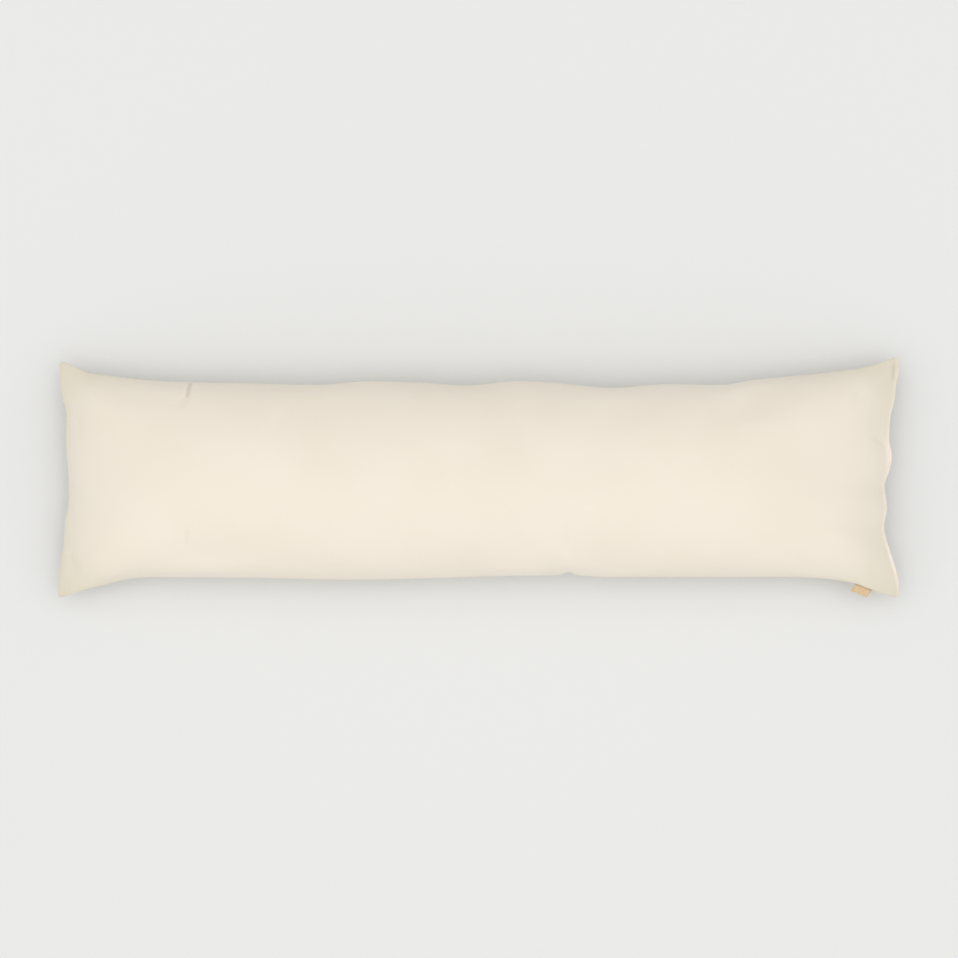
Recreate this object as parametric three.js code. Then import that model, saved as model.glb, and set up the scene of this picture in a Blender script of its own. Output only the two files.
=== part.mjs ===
import * as THREE from 'three';

// Lumbar pillow insert: a long narrow bag of plain cotton, filled with loose fibre and lying on its back.
// Millimetres. +X runs along the pillow to the seam that was closed last, +Y goes across it, +Z up.
// The surface that it lies on is z = 0.

// Driving dimensions of the filled bag.
const SEAM_THICKNESS = 2;
const TOP_RISE = 82.5;
const BACK_DROP = 80;
const TOP_END_REACH = 280;
const BACK_END_REACH = 200;
const END_CURVE = 2.6;
const CLOSING_LIP = 5;
const FOOT_BLEND = 6;

// How round a cross-section is where its panels meet: half an ellipse is 0.5, a lens is 1.
const TOP_ROUNDNESS = 0.76;
const BACK_ROUNDNESS = 0.45;
const END_ROUNDNESS = 0.78;

// Loose fill leaves broad swells along the top. The turn is the way that a swell runs, from +X, in degrees.
const SWELLS = [
  { height: 1.6, length: 266, turn: 31, start: 0.7 },
  { height: 1, length: 157, turn: -30, start: 0 },
];

// The swells and troughs fade out at the seams, over this share of the fullness.
const MARK_FADE = 0.33;

// Side label: a ribbon folded into a loop, its ends caught in the near seam.
const LABEL_WIDTH = 26;
const LABEL_LENGTH = 13;
const LABEL_ROOT_THICKNESS = 0.9;
const LABEL_FOLD_THICKNESS = 1.5;
const LABEL_SAG = 3.2;
const LABEL_GAP = 0.35;
const LABEL_LEAN = 0.2;
const LABEL_FROM_CORNER = 55;
const LABEL_STEPS = 12;

// The four corners that the sewing leaves as flat ears.
const CORNERS = {
  farLeft: { x: -626, y: 173, z: 45 },
  farRight: { x: 627, y: 179, z: 42 },
  nearLeft: { x: -629, y: -179, z: 42 },
  nearRight: { x: 629, y: -179, z: 43 },
};

// Each seam from corner to corner, as it lies: long sides from the left, ends from the near side.
const FAR_SEAM = [
  { x: -583, y: 156, z: 47 },
  { x: -563, y: 153, z: 49 },
  { x: -477, y: 144, z: 55 },
  { x: -332, y: 140, z: 60 },
  { x: -235, y: 138, z: 61 },
  { x: -174, y: 143, z: 60 },
  { x: -87, y: 141, z: 62 },
  { x: -16, y: 137, z: 61 },
  { x: 55, y: 143.5, z: 60 },
  { x: 126, y: 139.5, z: 61 },
  { x: 196, y: 133.5, z: 62 },
  { x: 278, y: 139, z: 60 },
  { x: 367, y: 138.5, z: 59 },
  { x: 410, y: 145.5, z: 57 },
  { x: 521, y: 156.5, z: 53 },
  { x: 587, y: 167, z: 47 },
];
const NEAR_SEAM = [
  { x: -591, y: -168, z: 45 },
  { x: -563, y: -161, z: 48 },
  { x: -516, y: -150.5, z: 52 },
  { x: -430, y: -148.8, z: 58 },
  { x: -337, y: -149.4, z: 61 },
  { x: -196, y: -152.2, z: 61 },
  { x: -64, y: -149.8, z: 60 },
  { x: 31, y: -146.6, z: 61 },
  { x: 94, y: -146.1, z: 60 },
  { x: 134, y: -145.3, z: 60 },
  { x: 190, y: -148.3, z: 60 },
  { x: 235, y: -148.2, z: 61 },
  { x: 367, y: -148.3, z: 60 },
  { x: 498, y: -149.6, z: 56 },
  { x: 560, y: -157.6, z: 50 },
  { x: 590, y: -168.8, z: 46 },
];
const LEFT_SEAM = [
  { x: -628, y: -147, z: 43 },
  { x: -623.3, y: -112, z: 43 },
  { x: -620.8, y: -88, z: 43.5 },
  { x: -618.5, y: -61, z: 44 },
  { x: -615, y: -44, z: 44.5 },
  { x: -614.5, y: 8, z: 46 },
  { x: -617.4, y: 46, z: 46 },
  { x: -617.6, y: 78, z: 45.5 },
  { x: -617.6, y: 97, z: 45 },
  { x: -622, y: 115, z: 44.5 },
  { x: -625.5, y: 134, z: 44 },
];
const RIGHT_SEAM = [
  { x: 627, y: -150, z: 44 },
  { x: 614.2, y: -107, z: 45 },
  { x: 609, y: -92, z: 46 },
  { x: 606, y: -74, z: 47 },
  { x: 610, y: -45, z: 49 },
  { x: 606.5, y: -12, z: 47 },
  { x: 614.5, y: 12, z: 45 },
  { x: 618, y: 31, z: 43 },
  { x: 613.8, y: 55, z: 46 },
  { x: 614.3, y: 76, z: 47 },
  { x: 615.8, y: 94, z: 48 },
  { x: 621, y: 111, z: 46 },
  { x: 622.8, y: 127, z: 45 },
  { x: 625, y: 142, z: 44 },
  { x: 628.5, y: 160, z: 43 },
];

// The filling doesn't reach into the corners: a corner at u, v is flatter over these reaches along and
// across the bag. u runs along the pillow and v across it, both from 0 to 1.
const CUT_WIDTH = 356;
const EARS = [
  { u: 0, v: 0, along: 46, across: 56, flat: 0.75 },
  { u: 0, v: 1, along: 36, across: 32, flat: 0.75 },
  { u: 1, v: 0, along: 55, across: 50, flat: 0.75 },
  { u: 1, v: 1, along: 44, across: 42, flat: 0.65 },
];

// A tight stitch puckers the near seam by this depth, and fades over a share of the panels' width.
const PUCKER = { x: 134, width: 16, depth: 4.5, fade: 0.04 };

// Soft troughs in the top panel. The turn is from +X, in degrees. At the ends of its length and width
// a trough is a third as deep as in its middle.
const TROUGHS = [
  { x: 127, y: -100, turn: 84, length: 64, width: 24, depth: 2.2 },
  { x: 64, y: 62, turn: 88, length: 85, width: 30, depth: 2.6 },
  { x: 578, y: -62, turn: 10, length: 55, width: 34, depth: 2.2 },
  { x: 566, y: 128, turn: 62, length: 40, width: 16, depth: 4.5 },
  { x: 600, y: 58, turn: -20, length: 42, width: 15, depth: 2.6 },
  { x: -432, y: 122, turn: 72, length: 30, width: 12, depth: 3.5 },
  { x: -380, y: -120, turn: 6, length: 95, width: 36, depth: 4 },
  { x: -596, y: 84, turn: 86, length: 75, width: 20, depth: 2.6 },
  { x: -596, y: -120, turn: 40, length: 52, width: 20, depth: 2.6 },
  { x: -294, y: 84, turn: 58, length: 60, width: 20, depth: 2 },
];

// Steps of the panels' grid along the pillow, as shares of its length: finer at the ends and at the pucker.
// The last step is the closing lip.
const LENGTH_SPANS = [
  { to: 0.16, steps: 20 },
  { to: 0.59, steps: 24 },
  { to: 0.62, steps: 7 },
  { to: 0.84, steps: 12 },
  { to: 0.996, steps: 20 },
  { to: 1, steps: 1 },
];
const CROSS_STEPS = 22;
const CROSS_CLUSTER = 0.72;

const CREAM_COTTON = new THREE.MeshStandardMaterial({ color: 0xf3e9d6, roughness: 0.88, metalness: 0 });
const TAN_RIBBON = new THREE.MeshStandardMaterial({ color: 0xd2b48f, roughness: 0.72, metalness: 0 });

function seamCurve(from, rows, to) {
  const points = [from, ...rows, to].map((row) => new THREE.Vector3(row.x, row.y, row.z));
  const curve = new THREE.CatmullRomCurve3(points, false, 'centripetal');
  curve.arcLengthDivisions = 1000;
  return curve;
}

const seams = {
  far: seamCurve(CORNERS.farLeft, FAR_SEAM, CORNERS.farRight),
  near: seamCurve(CORNERS.nearLeft, NEAR_SEAM, CORNERS.nearRight),
  left: seamCurve(CORNERS.nearLeft, LEFT_SEAM, CORNERS.farLeft),
  right: seamCurve(CORNERS.nearRight, RIGHT_SEAM, CORNERS.farRight),
};

// The sheet halfway between the panels, stretched between the four seams.
function middleSheet(u, v) {
  const { lerp } = THREE.MathUtils;
  const near = seams.near.getPointAt(u);
  const far = seams.far.getPointAt(u);
  const left = seams.left.getPointAt(v);
  const right = seams.right.getPointAt(v);
  const blend = (axis) => {
    const corners = lerp(
      lerp(CORNERS.nearLeft[axis], CORNERS.nearRight[axis], u),
      lerp(CORNERS.farLeft[axis], CORNERS.farRight[axis], u),
      v,
    );
    return lerp(near[axis], far[axis], v) + lerp(left[axis], right[axis], u) - corners;
  };
  const x = blend('x');
  const drawn = Math.exp(-(((x - PUCKER.x) / (PUCKER.width / 2)) ** 2) - v / PUCKER.fade);
  return new THREE.Vector3(x, blend('y') + PUCKER.depth * drawn, blend('z'));
}

// The share of its height that the filling keeps beside the flat corners.
function heightKeptByEars(u, v, length) {
  let kept = 1;
  for (const ear of EARS) {
    const alongOff = ((u - ear.u) * length) / ear.along;
    const acrossOff = ((v - ear.v) * CUT_WIDTH) / ear.across;
    kept *= 1 - ear.flat * Math.exp(-((alongOff ** 2 + acrossOff ** 2) ** 2));
  }
  return kept;
}

// How full the bag is at a place, from 0 at the seams to 1 along its middle.
function fullness(u, v, reach, middleRoundness) {
  const length = seams.near.getLength();
  const fromEnd = Math.max(0, Math.min(u * length, (1 - u) * length - CLOSING_LIP));
  const share = Math.min(1, fromEnd / reach);
  const along = 1 - (1 - share) ** END_CURVE;
  const off = 2 * v - 1;
  const roundness = THREE.MathUtils.lerp(END_ROUNDNESS, middleRoundness, along);
  return along * Math.max(0, 1 - off * off) ** roundness * heightKeptByEars(u, v, length);
}

function troughDepth(x, y) {
  let depth = 0;
  for (const trough of TROUGHS) {
    const turn = THREE.MathUtils.degToRad(trough.turn);
    const dx = x - trough.x;
    const dy = y - trough.y;
    const alongIt = (dx * Math.cos(turn) + dy * Math.sin(turn)) / (trough.length / 2);
    const acrossIt = (dy * Math.cos(turn) - dx * Math.sin(turn)) / (trough.width / 2);
    depth += trough.depth * Math.exp(-(alongIt * alongIt + acrossIt * acrossIt));
  }
  return depth;
}

function swellHeight(x, y) {
  let height = 0;
  for (const swell of SWELLS) {
    const turn = THREE.MathUtils.degToRad(swell.turn);
    const distance = x * Math.cos(turn) + y * Math.sin(turn);
    height += swell.height * Math.sin((2 * Math.PI * distance) / swell.length + swell.start);
  }
  return height;
}

function topPoint(u, v) {
  const point = middleSheet(u, v);
  const full = fullness(u, v, TOP_END_REACH, TOP_ROUNDNESS);
  const marks = swellHeight(point.x, point.y) - troughDepth(point.x, point.y);
  point.z += SEAM_THICKNESS / 2 + full * TOP_RISE + Math.min(1, full / MARK_FADE) * marks;
  return point;
}

// The back panel bulges down until it lies flat on the floor, with a soft bend into the flat part.
function backPoint(u, v) {
  const point = middleSheet(u, v);
  const drop = fullness(u, v, BACK_END_REACH, BACK_ROUNDNESS) * BACK_DROP;
  const free = point.z - SEAM_THICKNESS / 2 - drop;
  if (free <= -FOOT_BLEND) {
    point.z = 0;
  } else if (free < FOOT_BLEND) {
    point.z = (free + FOOT_BLEND) ** 2 / (4 * FOOT_BLEND);
  } else {
    point.z = free;
  }
  return point;
}

function lengthStations() {
  const stations = [0];
  let from = 0;
  for (const span of LENGTH_SPANS) {
    for (let step = 1; step <= span.steps; step += 1) {
      stations.push(from + ((span.to - from) * step) / span.steps);
    }
    from = span.to;
  }
  return stations;
}

// Closer together at the long seams, where the section bends most.
function crossStations() {
  const stations = [];
  for (let step = 0; step <= CROSS_STEPS; step += 1) {
    const even = step / CROSS_STEPS;
    const clustered = (1 - Math.cos(Math.PI * even)) / 2;
    stations.push(THREE.MathUtils.lerp(even, clustered, CROSS_CLUSTER));
  }
  return stations;
}

// The grid's points on its rim, once round, counter-clockwise from above.
function rimOrder(columns, rows) {
  const order = [];
  for (let i = 0; i < columns; i += 1) order.push([i, 0]);
  for (let j = 0; j < rows; j += 1) order.push([columns, j]);
  for (let i = columns; i > 0; i -= 1) order.push([i, rows]);
  for (let j = rows; j > 0; j -= 1) order.push([0, j]);
  return order;
}

function pillowBody() {
  const along = lengthStations();
  const across = crossStations();
  const columns = along.length - 1;
  const rows = across.length - 1;
  const positions = [];
  const triangles = [];
  for (const panelPoint of [topPoint, backPoint]) {
    for (const u of along) {
      for (const v of across) positions.push(...panelPoint(u, v).toArray());
    }
  }
  const top = (i, j) => i * across.length + j;
  const back = (i, j) => along.length * across.length + top(i, j);
  const quad = (a, b, c, d) => triangles.push(a, b, c, a, c, d);
  for (let i = 0; i < columns; i += 1) {
    for (let j = 0; j < rows; j += 1) {
      quad(top(i, j), top(i + 1, j), top(i + 1, j + 1), top(i, j + 1));
      quad(back(i, j), back(i, j + 1), back(i + 1, j + 1), back(i + 1, j));
    }
  }
  const rim = rimOrder(columns, rows);
  rim.forEach((here, index) => {
    const next = rim[(index + 1) % rim.length];
    quad(back(...here), back(...next), top(...next), top(...here));
  });
  const geometry = new THREE.BufferGeometry();
  geometry.setAttribute('position', new THREE.Float32BufferAttribute(positions, 3));
  geometry.setIndex(triangles);
  geometry.computeVertexNormals();
  const mesh = new THREE.Mesh(geometry, CREAM_COTTON);
  mesh.name = 'pillow_body';
  return mesh;
}

// The ribbon's side view: out from the seam along +X, sagging a little, round at the fold.
function labelSection() {
  const sagAt = (share) => -LABEL_SAG * share * share;
  const halfAt = (share) => THREE.MathUtils.lerp(LABEL_ROOT_THICKNESS, LABEL_FOLD_THICKNESS, share) / 2;
  const foldRadius = LABEL_FOLD_THICKNESS / 2;
  const straight = LABEL_LENGTH - foldRadius;
  const lower = [];
  const upper = [];
  for (let step = 0; step <= LABEL_STEPS; step += 1) {
    const share = step / LABEL_STEPS;
    lower.push(new THREE.Vector2(straight * share, sagAt(share) - halfAt(share)));
    upper.unshift(new THREE.Vector2(straight * share, sagAt(share) + halfAt(share)));
  }
  const fold = [];
  for (let step = 1; step < LABEL_STEPS / 2; step += 1) {
    const turn = Math.PI * (step / (LABEL_STEPS / 2) - 0.5);
    const beyond = foldRadius * Math.cos(turn);
    fold.push(new THREE.Vector2(straight + beyond, sagAt(1) + foldRadius * Math.sin(turn)));
  }
  return new THREE.Shape([...lower, ...fold, ...upper]);
}

// Its root follows the near seam, and its free end leans a little along it.
function sideLabel() {
  const options = { depth: LABEL_WIDTH, bevelEnabled: false, steps: 4 };
  const geometry = new THREE.ExtrudeGeometry(labelSection(), options);
  geometry.translate(0, 0, -LABEL_WIDTH / 2);
  geometry.rotateX(Math.PI / 2);
  const length = seams.near.getLength();
  const place = 1 - LABEL_FROM_CORNER / length;
  const middle = seams.near.getPointAt(place);
  const ahead = seams.near.getTangentAt(place);
  const outward = new THREE.Vector3(ahead.y, -ahead.x, 0).normalize();
  const position = geometry.attributes.position;
  for (let index = 0; index < position.count; index += 1) {
    const out = position.getX(index);
    const seamPoint = seams.near.getPointAt(place + position.getY(index) / length);
    const root = seamPoint.sub(middle).dot(outward) + LABEL_GAP;
    position.setX(index, root + out);
    position.setY(index, position.getY(index) - LABEL_LEAN * out);
  }
  geometry.computeVertexNormals();
  const mesh = new THREE.Mesh(geometry, TAN_RIBBON);
  mesh.name = 'side_label';
  mesh.position.copy(middle);
  mesh.rotation.z = Math.atan2(outward.y, outward.x);
  return mesh;
}

const group = new THREE.Group();
group.add(pillowBody(), sideLabel());

// The origin is under the middle of the whole object.
const centre = new THREE.Box3().setFromObject(group, true).getCenter(new THREE.Vector3());
for (const piece of group.children) {
  piece.position.x -= centre.x;
  piece.position.y -= centre.y;
}

export default group;
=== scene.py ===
"""Lumbar pillow insert: a long cotton bag, filled and sewn shut at its right end, lying on its back."""
import math

import bpy
import numpy as np
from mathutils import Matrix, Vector


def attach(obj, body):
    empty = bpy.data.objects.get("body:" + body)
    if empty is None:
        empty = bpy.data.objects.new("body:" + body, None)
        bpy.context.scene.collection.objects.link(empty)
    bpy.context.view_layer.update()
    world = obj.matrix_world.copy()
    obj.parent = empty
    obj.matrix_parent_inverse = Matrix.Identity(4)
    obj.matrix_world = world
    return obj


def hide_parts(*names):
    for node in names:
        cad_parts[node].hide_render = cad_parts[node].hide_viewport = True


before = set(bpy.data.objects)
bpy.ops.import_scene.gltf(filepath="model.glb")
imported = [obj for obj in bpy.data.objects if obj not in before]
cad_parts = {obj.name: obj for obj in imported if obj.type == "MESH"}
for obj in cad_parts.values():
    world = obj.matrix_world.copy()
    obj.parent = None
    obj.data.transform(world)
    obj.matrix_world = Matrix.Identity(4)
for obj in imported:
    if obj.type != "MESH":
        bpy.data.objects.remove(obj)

MM = 0.001
TINY = 1e-9
UP = np.array([0.0, 0.0, 1.0])

# Sizes of the bag, in metres, and its seams, in millimetres as in the part's source

CUT_LENGTH = 1.268
CUT_WIDTH = 0.356
HALF_SEAM = 0.001
TOP_RISE = 0.0825
BACK_DROP = 0.080
TOP_END_REACH = 0.280
BACK_END_REACH = 0.200
END_CURVE = 2.6
CLOSING_LIP = 0.005
FOOT_BLEND = 0.006
TOP_ROUNDNESS = 0.76
BACK_ROUNDNESS = 0.45
END_ROUNDNESS = 0.78

CORNERS = {
    "far_left": (-626, 173, 45),
    "far_right": (627, 179, 42),
    "near_left": (-629, -179, 42),
    "near_right": (629, -179, 43),
}
FAR_SEAM = [
    (-583, 156, 47), (-563, 153, 49), (-477, 144, 55), (-332, 140, 60), (-235, 138, 61), (-174, 143, 60),
    (-87, 141, 62), (-16, 137, 61), (55, 143.5, 60), (126, 139.5, 61), (196, 133.5, 62), (278, 139, 60),
    (367, 138.5, 59), (410, 145.5, 57), (521, 156.5, 53), (587, 167, 47),
]
NEAR_SEAM = [
    (-591, -168, 45), (-563, -161, 48), (-516, -150.5, 52), (-430, -148.8, 58), (-337, -149.4, 61),
    (-196, -152.2, 61), (-64, -149.8, 60), (31, -146.6, 61), (94, -146.1, 60), (134, -145.3, 60),
    (190, -148.3, 60), (235, -148.2, 61), (367, -148.3, 60), (498, -149.6, 56), (560, -157.6, 50),
    (590, -168.8, 46),
]
LEFT_SEAM = [
    (-628, -147, 43), (-623.3, -112, 43), (-620.8, -88, 43.5), (-618.5, -61, 44), (-615, -44, 44.5),
    (-614.5, 8, 46), (-617.4, 46, 46), (-617.6, 78, 45.5), (-617.6, 97, 45), (-622, 115, 44.5),
    (-625.5, 134, 44),
]
RIGHT_SEAM = [
    (627, -150, 44), (614.2, -107, 45), (609, -92, 46), (606, -74, 47), (610, -45, 49), (606.5, -12, 47),
    (614.5, 12, 45), (618, 31, 43), (613.8, 55, 46), (614.3, 76, 47), (615.8, 94, 48), (621, 111, 46),
    (622.8, 127, 45), (625, 142, 44), (628.5, 160, 43),
]

# Each corner's tip is blunted over this length. Shares of it push the sharp point out, and draw it in.
TIP_BLUNT = 0.005
TIP_PUSH = 0.2
TIP_DRAW = 0.32

# The flat ears at the corners, which the filling doesn't reach, along and across the bag in metres.
EARS = [
    {"u": 0, "v": 0, "along": 0.046, "across": 0.056, "flat": 0.75},
    {"u": 0, "v": 1, "along": 0.036, "across": 0.032, "flat": 0.75},
    {"u": 1, "v": 0, "along": 0.055, "across": 0.050, "flat": 0.75},
    {"u": 1, "v": 1, "along": 0.044, "across": 0.042, "flat": 0.65},
]

# A pucker that draws the near seam in, in metres, but for its fade, which is a share of the way across.
PUCKER = {"x": 0.134, "half_width": 0.008, "depth": 0.0045, "fade": 0.04}

# Soft swells and troughs in the top panel, in millimetres and degrees, a swell's start in radians.
# They have their full depth where the bag is this full.
MARK_FADE = 0.33
SWELLS = [
    {"height": 1.6, "length": 266, "turn": 31, "start": 0.7},
    {"height": 1.0, "length": 157, "turn": -30, "start": 0.0},
]
TROUGHS = [
    {"x": 127, "y": -100, "turn": 84, "length": 64, "width": 24, "depth": 2.2},
    {"x": 64, "y": 62, "turn": 88, "length": 85, "width": 30, "depth": 2.6},
    {"x": 578, "y": -62, "turn": 10, "length": 55, "width": 34, "depth": 2.2},
    {"x": 566, "y": 128, "turn": 62, "length": 40, "width": 16, "depth": 4.5},
    {"x": 600, "y": 58, "turn": -20, "length": 42, "width": 15, "depth": 2.6},
    {"x": -432, "y": 122, "turn": 72, "length": 30, "width": 12, "depth": 3.5},
    {"x": -395, "y": -113, "turn": 3, "length": 130, "width": 44, "depth": 5.0},
    {"x": -596, "y": 84, "turn": 86, "length": 75, "width": 20, "depth": 2.6},
    {"x": -596, "y": -120, "turn": 40, "length": 52, "width": 20, "depth": 2.6},
    {"x": -294, "y": 84, "turn": 58, "length": 60, "width": 20, "depth": 2.0},
]

# Narrow creases pressed into the top panel, from one place to another as seen from above, in millimetres.
# Two of them carry a little painted shade besides, because their depth alone hardly shows.
CREASES = [
    {"from": (-429.5, 150), "to": (-431.5, 122), "width": 4.0, "depth": 4.0},
    {"from": (-436, 118), "to": (-456, 106), "width": 13.0, "depth": 1.1},
    {"from": (-428.5, -76), "to": (-429.5, -96), "width": 4.5, "depth": 0.9, "shade": 0.08},
    {"from": (620.5, 168), "to": (620.0, 147), "width": 4.0, "depth": 1.8, "shade": 0.6},
    {"from": (591, 60), "to": (607, 50), "width": 7.0, "depth": 1.5},
    {"from": (-611, -112), "to": (-603, -146), "width": 12.0, "depth": 2.2},
    {"from": (-597, 64), "to": (-602, 108), "width": 9.0, "depth": 1.2},
    {"from": (471, 139), "to": (467, 114), "width": 9.0, "depth": 0.9},
    {"from": (491, 142), "to": (489, 116), "width": 9.0, "depth": 0.8},
]

# A crease is whole this far from its middle and fades over this much, both shares of its length.
CREASE_WHOLE = 0.35
CREASE_FADE = 0.22
# From the seam inwards, it reaches its depth where the bag is this full.
CREASE_START = 0.012

# How the cloth settles round its filling

SETTLE_SPANS = (220, 62)
SETTLE_STEPS = 500
PRESSURE_STEP = 1.6e-6
SPEED_USED = 0.97
SPEED_KEPT = 0.9
SEAM_EASE = 0.006
SEAM_EASE_REACH = 0.030
CROSS_EASE = 0.003
SHEAR_HOLD = 0.35
SLACK_HOLD = 0.55
BENDING = 0.3
FILLING_HOLD = 0.005
MOST_MOVE = 0.009
FOOT_HOLD = 0.0006

# The photograph shows no folds at the corners, so the cloth's settling is held back round each of them.
CALM_CORNERS = [
    {"u": 0, "v": 0, "along": 0.10, "across": 0.09, "calm": 0.6},
    {"u": 0, "v": 1, "along": 0.13, "across": 0.10, "calm": 0.7},
    {"u": 1, "v": 0, "along": 0.36, "across": 0.24, "calm": 1.0},
    {"u": 1, "v": 1, "along": 0.10, "across": 0.09, "calm": 0.6},
]

# The mesh of the cloth: distances in from the seams in millimetres, and spans between them in metres

CURVE_STEPS = 60
ARC_STEPS = 161
END_DISTANCES = (0, 0.7, 1.5, 2.3, 2.8, 3.2, 3.6, 4.1, 5, 6, 7.2, 8.4, 9.6, 11, 13.5)
SIDE_DISTANCES = (0, 0.8, 1.8, 3.2, 5, 7.2, 10)
LENGTH_SPAN = 0.0044
CROSS_SPAN = 0.0039
RIM_GROOVE = 0.0008
LIP_SLIT = 0.0016

# Closer stations at the pleat and the pucker, in millimetres; the others keep off by a share of the reach.
FINE_PLACES = [{"x": -431, "reach": 11, "span": 1.0}, {"x": 134, "reach": 17, "span": 1.4}]
FINE_CLEARANCE = 1.04

# The seam's edge from the front panel down to the back one: two small lips with a narrow groove between.
# A ring's groove share sets how deep in the groove it lies and how much painted shade darkens it.
RIM = [
    {"height": 0.74, "out": 0.0004, "groove": 0.0}, {"height": 0.42, "out": 0.0005, "groove": 0.0},
    {"height": 0.15, "out": 0.0002, "groove": 0.25}, {"height": 0.0, "out": 0.0, "groove": 1.0},
    {"height": -0.15, "out": 0.0002, "groove": 0.25}, {"height": -0.42, "out": 0.0005, "groove": 0.0},
    {"height": -0.74, "out": 0.0004, "groove": 0.0},
]

# The stitches that close the bag, lengths in metres

STITCH_FROM_EDGE = 0.0032
STITCH_ROW_INSET = 0.006
STITCH_PITCH = 0.0032
STITCH_LENGTH = 0.0025
STITCH_RADIUS = 0.00026
STITCH_SIDES = 8
STITCH_BOW = (-0.00025, 0.00022, 0.00034, 0.00022, -0.00025)
STITCH_SLANT = 0.00012
STITCH_ENDS = (0.08, 0.92)
STITCH_TAPER = 0.4
STITCH_DENT = 0.00055
STITCH_DENT_WIDTH = 0.0008
STITCH_SCALLOP = 0.2

# Side label, lengths in metres; its stations are shares of its width, its ripple's waves counted across it

LABEL_WIDTH = 0.026
LABEL_LENGTH = 0.013
LABEL_ROOT_THICKNESS = 0.0009
LABEL_FOLD_THICKNESS = 0.0015
LABEL_SAG = 0.0032
LABEL_GAP = 0.00035
LABEL_LEAN = 0.2
LABEL_FROM_CORNER = 0.055
LABEL_CURL = 0.0004
LABEL_RIPPLE = {"height": 0.0002, "waves": 1.3, "length": 0.011}
LABEL_NUDGE = 1e-4
LABEL_STEPS = 15
LABEL_FOLD_STEPS = 10
LABEL_MIDDLE_STATIONS = np.linspace(-0.42, 0.42, 19)
LABEL_EDGE_STATIONS = np.array([0.455, 0.485, 0.5])
LABEL_EDGE_THINNING = 0.55
RIBBON_THICKNESS = 0.00035
RIBBON_LENGTH = 0.0274


def metres(points):
    return [tuple(number * MM for number in point) for point in points]


def unit(vectors):
    return vectors / np.linalg.norm(vectors, axis=-1, keepdims=True)


def outward_of(grid):
    """The unit normals of a grid of points."""
    return unit(np.cross(np.gradient(grid, axis=0), np.gradient(grid, axis=1)))


def curve_through(points):
    """A centripetal Catmull-Rom curve as a fine line, and the length run to each of its points."""
    knots = np.array(points, float)
    knots = np.vstack([2 * knots[0] - knots[1], knots, 2 * knots[-1] - knots[-2]])
    pieces = []
    share = np.linspace(0, 1, CURVE_STEPS, endpoint=False)[:, None]
    for first in range(len(knots) - 3):
        before, start, end, after = knots[first:first + 4]
        gap_before = math.sqrt(np.linalg.norm(start - before))
        gap = math.sqrt(np.linalg.norm(end - start))
        gap_after = math.sqrt(np.linalg.norm(after - end))
        leave = (start - before) / gap_before - (end - before) / (gap_before + gap) + (end - start) / gap
        arrive = (end - start) / gap - (after - start) / (gap + gap_after) + (after - end) / gap_after
        leave, arrive = leave * gap, arrive * gap
        pieces.append(
            start + leave * share + (3 * (end - start) - 2 * leave - arrive) * share ** 2
            + (2 * (start - end) + leave + arrive) * share ** 3
        )
    line = np.vstack(pieces + [knots[-2:-1]])
    run = np.concatenate([[0], np.cumsum(np.linalg.norm(np.diff(line, axis=0), axis=1))])
    return line, run


def along(curve, share):
    """The points at shares of a curve's length."""
    line, run = curve
    return np.stack([np.interp(share * run[-1], run, line[:, axis]) for axis in range(3)], -1)


def blunted(tip, lengthwise, crosswise):
    """A corner's tip drawn in a little, and the points where its short round turn meets the two seams."""
    tip = np.array(tip) * MM
    leg, other_leg = [unit(np.array(seam) * MM - tip) for seam in (lengthwise, crosswise)]
    inward = leg + other_leg
    outer = tip - TIP_PUSH * TIP_BLUNT * inward
    return outer + TIP_DRAW * TIP_BLUNT * inward, outer + TIP_BLUNT * leg, outer + TIP_BLUNT * other_leg


tips = {
    "near_left": blunted(CORNERS["near_left"], NEAR_SEAM[0], LEFT_SEAM[0]),
    "far_left": blunted(CORNERS["far_left"], FAR_SEAM[0], LEFT_SEAM[-1]),
    "near_right": blunted(CORNERS["near_right"], NEAR_SEAM[-1], RIGHT_SEAM[0]),
    "far_right": blunted(CORNERS["far_right"], FAR_SEAM[-1], RIGHT_SEAM[-1]),
}
corner = {name: turn[0] for name, turn in tips.items()}


def seam_between(start, points, end, leg):
    return curve_through([corner[start], tips[start][leg], *metres(points), tips[end][leg], corner[end]])


far_seam = seam_between("far_left", FAR_SEAM, "far_right", 1)
near_seam = seam_between("near_left", NEAR_SEAM, "near_right", 1)
left_seam = seam_between("near_left", LEFT_SEAM, "far_left", 2)
right_seam = seam_between("near_right", RIGHT_SEAM, "far_right", 2)
near_length = near_seam[1][-1]
right_length = right_seam[1][-1]


def middle_sheet(u, v):
    """The surface that spans the four seams: u runs along the bag and v across it."""
    u = np.broadcast_to(u, v.shape)
    uu, vv = u[..., None], v[..., None]
    spanned = (1 - vv) * along(near_seam, u) + vv * along(far_seam, u)
    spanned += (1 - uu) * along(left_seam, v) + uu * along(right_seam, v)
    spanned -= (1 - vv) * ((1 - uu) * corner["near_left"] + uu * corner["near_right"])
    spanned -= vv * ((1 - uu) * corner["far_left"] + uu * corner["far_right"])
    off = (spanned[..., 0] - PUCKER["x"]) / PUCKER["half_width"]
    spanned[..., 1] += PUCKER["depth"] * np.exp(-off ** 2 - v / PUCKER["fade"])
    return spanned


def fullness(u, v, reach, roundness):
    """How much of the crown's height there is at a point: none on the seams, all in the middle."""
    from_end = np.maximum(0, np.minimum(u * near_length, (1 - u) * near_length - CLOSING_LIP))
    fade = 1 - (1 - np.minimum(1, from_end / reach)) ** END_CURVE
    power = END_ROUNDNESS + (roundness - END_ROUNDNESS) * fade
    full = fade * np.maximum(0, 1 - (2 * v - 1) ** 2) ** power
    for ear in EARS:
        along_off = (u - ear["u"]) * near_length / ear["along"]
        across_off = (v - ear["v"]) * CUT_WIDTH / ear["across"]
        full = full * (1 - ear["flat"] * np.exp(-(along_off ** 2 + across_off ** 2) ** 2))
    return full


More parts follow.
